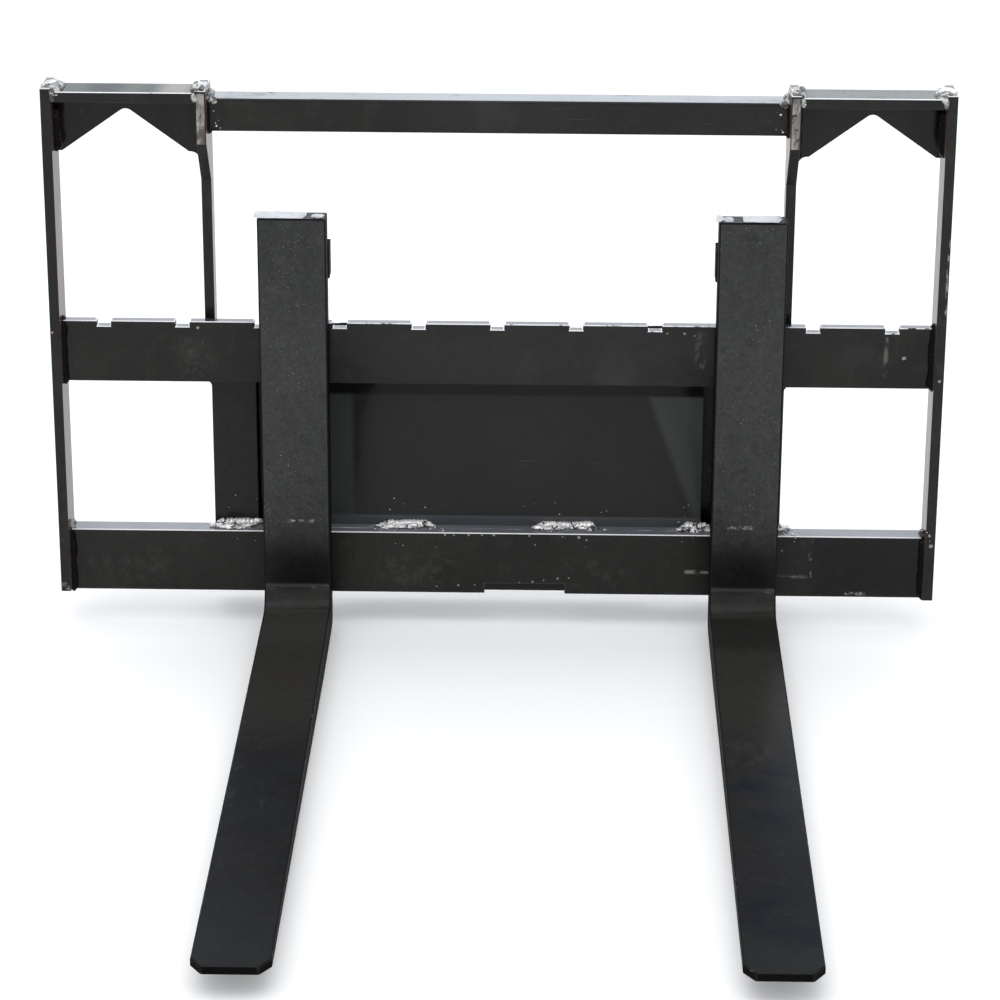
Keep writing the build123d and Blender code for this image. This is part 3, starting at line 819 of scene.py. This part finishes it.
for middle_x in range(-380, 381, 152):
    seam_seed += 1
    for half, y, z, radius, extra_seed in PANEL_SEAMS:
        start, end = place(middle_x - half, y, z), place(middle_x + half, y, z)
        add_bead(painted, start, end, radius * MM, seam_seed + extra_seed)
finish_piece(painted, "weld_runs_painted", weld_painted, "frame")

# Bright welds left unpainted, with their spatter
silver = bmesh.new()
STITCHES = ((-404, -343, 11), (-166, -95, 12), (57, 142, 13), (264, 306, 14), (398, 414, 15))
for start_x, end_x, seed in STITCHES:
    add_bead(silver, place(start_x, 29, 94), place(end_x, 29, 94), 6.5 * MM, seed, ripple=6.0)
    lumps = int((end_x - start_x) / 4.5)
    lump_source = random.Random(seed)
    for lump in range(lumps):
        lump_x = start_x + (lump + 0.5) * (end_x - start_x) / lumps
        near = 6 if start_x < -300 else 15
        centre = place(lump_x, lump_source.uniform(near, 29), lump_source.uniform(93, 97))
        reach = lump_source.uniform(2.0, 4.6) * MM
        add_blob(silver, centre, (reach * 2.3, reach * 1.1, reach * 0.75), seed * 20 + lump, 0.65)
    low, high = place(max(start_x - 30, -402), 31.5, 96), place(min(end_x + 30, 402), 32, 135)
    spatter(silver, low, high, 9, (0.6, 1.4), seed * 7)
    low, high = place(start_x - 20, 2, 93), place(end_x + 20, 30, 93.5)
    spatter(silver, low, high, 22, (0.7, 1.9), seed * 9)
    low, high = place(start_x - 10, -0.5, 70), place(end_x + 20, 0, 92)
    spatter(silver, low, high, 4, (0.5, 1.0), seed * 5)
for side in (-1, 1):
    low, high = place(side * 392, 3.5, 684), place(side * 380, 4, 715)
    spatter(silver, low, high, 5, (1.0, 2.0), 61 + side)
    low, high = place(side * 612, -20.5, 60), place(side * 620, -20, 110)
    spatter(silver, low, high, 2, (0.6, 1.2), 71 + side)
finish_piece(silver, "weld_runs_bright", weld_silver, "frame")

# Half-painted welds along the top of the frame
crown = bmesh.new()
for side in (-1, 1):
    add_blob(crown, place(side * 611, 8, 740), (16 * MM, 27 * MM, 8.5 * MM), 31 + side, 0.2)
    add_blob(crown, place(side * 605, -12, 737), (8 * MM, 9 * MM, 6 * MM), 35 + side, 0.3)
    add_bead(crown, place(side * 609, -19, 726), place(side * 609, -19, 742), 3.4 * MM, 41 + side)
    nose_x, tube_x = side * 415, side * 397
    add_bead(crown, place(nose_x, -19, 739), place(nose_x, 33, 741), 5.0 * MM, 45 + side, 4.5)
    add_bead(crown, place(nose_x, -19, 727), place(nose_x, -19, 740), 4.0 * MM, 47 + side)
    add_blob(crown, place(side * 406, 10, 740), (9 * MM, 24 * MM, 7 * MM), 55 + side, 0.3)
    add_bead(crown, place(tube_x, 3, 726), place(tube_x, 46, 727), 5.0 * MM, 49 + side, 4.5)
    add_blob(crown, place(side * 392, 6, 724), (7 * MM, 5 * MM, 5 * MM), 51 + side, 0.5)
add_blob(crown, place(-609, 5, 99), (6 * MM, 6 * MM, 7 * MM), 81, 0.3)
add_blob(crown, place(608, 5, 98), (5.5 * MM, 6 * MM, 5 * MM), 83, 0.3)
finish_piece(crown, "weld_runs_crown", weld_half, "frame")


def add_plate(builder, corners, thickness):
    """A thin closed plate: an outline and its copy, moved by the thickness vector."""
    front = [builder.verts.new(corner) for corner in corners]
    back = [builder.verts.new(corner + thickness) for corner in corners]
    builder.faces.new(front)
    builder.faces.new(list(reversed(back)))
    for index in range(len(front)):
        following = (index + 1) % len(front)
        builder.faces.new((front[index], back[index], back[following], front[following]))
    bmesh.ops.recalc_face_normals(builder, faces=builder.faces[:])


# Bare sawn fronts of the inner uprights: thin plates lying on the nose edge
for side, label in ((-1, "left"), (1, "right")):
    low, high = local_box(f"inner_upright_{label}")
    front = bmesh.new()
    heights_and_insets = ((668, 1.4), (700, 1.4), (739, 1.8))
    outline = [(low.x + inset, height) for height, inset in heights_and_insets]
    outline += [(high.x - inset, height) for height, inset in reversed(heights_and_insets)]
    add_plate(front, [place(x, low.y - 0.2, z) for x, z in outline], Vector((0, 0.4, 0)) * MM)
    finish_piece(front, f"bare_nose_edge_{label}", bare_steel, "frame", smooth=False)

# Hook welds behind each fork
for label, centre_x in FORK_CENTRES.items():
    hooks = bmesh.new()
    for side in (-1, 1):
        edge_x = centre_x + side * 41
        add_bead(hooks, place(edge_x, -0.5, 412), place(edge_x, -0.5, 468), 3.0 * MM, 101 + side)
        add_bead(hooks, place(edge_x, -0.5, -20), place(edge_x, -0.5, -4), 3.5 * MM, 111 + side)
        wall_x = centre_x + side * 47
        add_bead(hooks, place(wall_x, -0.5, 476), place(wall_x, -0.5, 516), 2.2 * MM, 121 + side)
    add_bead(hooks, place(centre_x - 42, 0.5, 521), place(centre_x + 42, 0.5, 521), 3.5 * MM, 131)
    add_bead(hooks, place(centre_x - 40, 0, -22), place(centre_x + 40, 0, -22), 3.5 * MM, 141)
    finish_piece(hooks, f"hook_welds_{label}", weld_painted, f"{label}_fork")


# Lock springs, which shorten as their pin lifts. The box of the CAD node gives the coil its ends.
COIL_TURNS = 5
COIL_STEPS = 26
WIRE_SIDES = 10
WIRE_RADIUS = 1.0 * MM
for label in ("left", "right"):
    low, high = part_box(f"lock_spring_{label}")
    low, high = Vector(low), Vector(high)
    middle = (low + high) / 2
    coil_radius = (high.x - low.x) / 2 - WIRE_RADIUS
    rise = high.z - low.z - 2 * WIRE_RADIUS
    coil = bmesh.new()
    rings = []
    for step in range(COIL_TURNS * COIL_STEPS + 1):
        turn = 2 * math.pi * step / COIL_STEPS
        outward = Vector((math.cos(turn), math.sin(turn), 0.0))
        height = low.z + WIRE_RADIUS + rise * step / (COIL_TURNS * COIL_STEPS)
        hub = Vector((middle.x, middle.y, height)) + outward * coil_radius
        ring = []
        for side in range(WIRE_SIDES):
            angle = 2 * math.pi * side / WIRE_SIDES
            skin = outward * math.cos(angle) + UP * math.sin(angle)
            ring.append(coil.verts.new(hub + skin * WIRE_RADIUS))
        rings.append(ring)
    join_rings(coil, rings)
    bmesh.ops.recalc_face_normals(coil, faces=coil.faces[:])
    spring = finish_piece(coil, f"lock_coil_{label}", zinc, f"{label}_fork")
    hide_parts(f"lock_spring_{label}")
    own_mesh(spring)


def film_strip(name, outline, height, body, curl, seed):
    """A blank film remnant: a thin crumpled sheet cut to an outline in millimetres."""
    strip = bmesh.new()
    corners = [strip.verts.new(place(x, y, height)) for x, y in outline]
    strip.faces.new(corners)
    bmesh.ops.triangulate(strip, faces=strip.faces[:])
    bmesh.ops.subdivide_edges(strip, edges=strip.edges[:], cuts=6, use_grid_fill=True)
    for vertex in strip.verts:
        ripple = noise.noise(vertex.co * 70 + Vector((seed, 0, 0)))
        vertex.co.z += (0.6 + 0.8 * abs(ripple)) * curl * MM
    bmesh.ops.solidify(strip, geom=strip.faces[:], thickness=0.25 * MM)
    finish_piece(strip, name, label_film, body)


film_strip(
    "top_film_left",
    [(-336, -2), (-336, -30), (-330, -35), (-268, -35.5), (-264, -24), (-262, -3)],
    SHANK_TOP + 0.1, "left_fork", 1.2, 3,
)
film_strip(
    "top_film_right",
    [(338, -3), (338, -34), (386, -35), (392, -20), (390, -3)],
    SHANK_TOP + 0.1, "right_fork", 1.2, 7,
)
film_strip(
    "top_film_corner_right",
    [(302, -2), (300, -34), (306, -36), (312, -20), (309, -2)],
    SHANK_TOP + 0.1, "right_fork", 1.6, 9,
)
TOP_LUMPS = (("left", -248, -22, 8, 9, 91), ("right", 318, -20, 7, 10, 92))
for label, lump_x, lump_y, width, depth, seed in TOP_LUMPS:
    lump = bmesh.new()
    size = (width * MM, depth * MM, 2.2 * MM)
    add_blob(lump, place(lump_x, lump_y, SHANK_TOP), size, seed, 0.5)
    finish_piece(lump, f"top_lump_{label}", label_film, f"{label}_fork")

# ---------------------------------------------------------------- stage, light and camera
FLOOR_REACH = 30.0
FLOOR_DROP = -0.0005
ground = bmesh.new()
bmesh.ops.create_grid(ground, x_segments=1, y_segments=1, size=FLOOR_REACH)
floor_mesh = bpy.data.meshes.new("studio_floor")
ground.to_mesh(floor_mesh)
ground.free()
floor_mesh.materials.append(floor_material())
floor = bpy.data.objects.new("studio_floor", floor_mesh)
floor.location.z = FLOOR_DROP
bpy.context.scene.collection.objects.link(floor)


def soft_box(name, location, target, width, height, power):
    """A rectangular area lamp aimed at a point."""
    lamp = bpy.data.lights.new(name, "AREA")
    lamp.shape = "RECTANGLE"
    lamp.size = width
    lamp.size_y = height
    lamp.energy = power
    holder = bpy.data.objects.new(name, lamp)
    holder.location = location
    holder.rotation_euler = (Vector(target) - Vector(location)).to_track_quat("-Z", "Y").to_euler()
    holder.visible_camera = False
    bpy.context.scene.collection.objects.link(holder)


soft_box("sky_top", (-0.5, -0.6, 6.0), (0, -0.2, 0), 7.0, 7.0, 150)

# Even pale studio world with one brighter band of sky low behind the object
world = bpy.data.worlds.new("studio_world")
world.use_nodes = True
sky = world.node_tree
backdrop = sky.nodes["Background"]
aim = sky.nodes.new("ShaderNodeTexCoord")
split = sky.nodes.new("ShaderNodeSeparateXYZ")
sky.links.new(aim.outputs["Generated"], split.inputs[0])


def sky_band(value, low, high, out_low, out_high):
    node = sky.nodes.new("ShaderNodeMapRange")
    node.interpolation_type = "SMOOTHSTEP"
    sky.links.new(value, node.inputs["Value"])
    limits = {"From Min": low, "From Max": high, "To Min": out_low, "To Max": out_high}
    for key, number in limits.items():
        node.inputs[key].default_value = number
    return node.outputs[0]


def sky_product(first, second):
    node = sky.nodes.new("ShaderNodeMath")
    node.operation = "MULTIPLY"
    sky.links.new(first, node.inputs[0])
    sky.links.new(second, node.inputs[1])
    return node.outputs[0]


SKY_EVEN = (0.80, 0.81, 0.83, 1.0)
SKY_GLOW = (3.7, 3.95, 4.3, 1.0)
towards_back = sky_band(split.outputs["Y"], 0.55, 0.85, 0.0, 1.0)
above_floor = sky_band(split.outputs["Z"], 0.10, 0.24, 0.0, 1.0)
below_roof = sky_band(split.outputs["Z"], 0.37, 0.46, 1.0, 0.0)
glow = sky_product(towards_back, sky_product(above_floor, below_roof))
tint = sky.nodes.new("ShaderNodeMix")
tint.data_type = "RGBA"
sky.links.new(glow, tint.inputs["Factor"])
tint.inputs[6].default_value = SKY_EVEN
tint.inputs[7].default_value = SKY_GLOW
sky.links.new(tint.outputs[2], backdrop.inputs["Color"])
backdrop.inputs["Strength"].default_value = 1.0
bpy.context.scene.world = world

CAMERA_PLACE = (85.3, -4612.5, 1909.4)
CAMERA_YAW = math.radians(-1.0)
CAMERA_PITCH = math.radians(20.94)
CAMERA_ROLL = math.radians(-0.25)
SENSOR_WIDTH = 36.0
FOCAL_SHARE = 3.4635
forward = Vector(
    (
        math.sin(CAMERA_YAW) * math.cos(CAMERA_PITCH),
        math.cos(CAMERA_YAW) * math.cos(CAMERA_PITCH),
        -math.sin(CAMERA_PITCH),
    )
)
level_right = Vector((math.cos(CAMERA_YAW), -math.sin(CAMERA_YAW), 0.0))
level_down = forward.cross(level_right)
right = level_right * math.cos(CAMERA_ROLL) + level_down * math.sin(CAMERA_ROLL)
down = level_down * math.cos(CAMERA_ROLL) - level_right * math.sin(CAMERA_ROLL)
lens = bpy.data.cameras.new("camera")
lens.sensor_width = SENSOR_WIDTH
lens.lens = SENSOR_WIDTH * FOCAL_SHARE
lens.clip_end = 100.0
camera = bpy.data.objects.new("camera", lens)
turn = Matrix((right, -down, -forward)).transposed().to_4x4()
camera.matrix_world = Matrix.Translation(place(*CAMERA_PLACE)) @ turn
bpy.context.scene.collection.objects.link(camera)
bpy.context.scene.camera = camera
bpy.context.scene.view_settings.view_transform = "Standard"
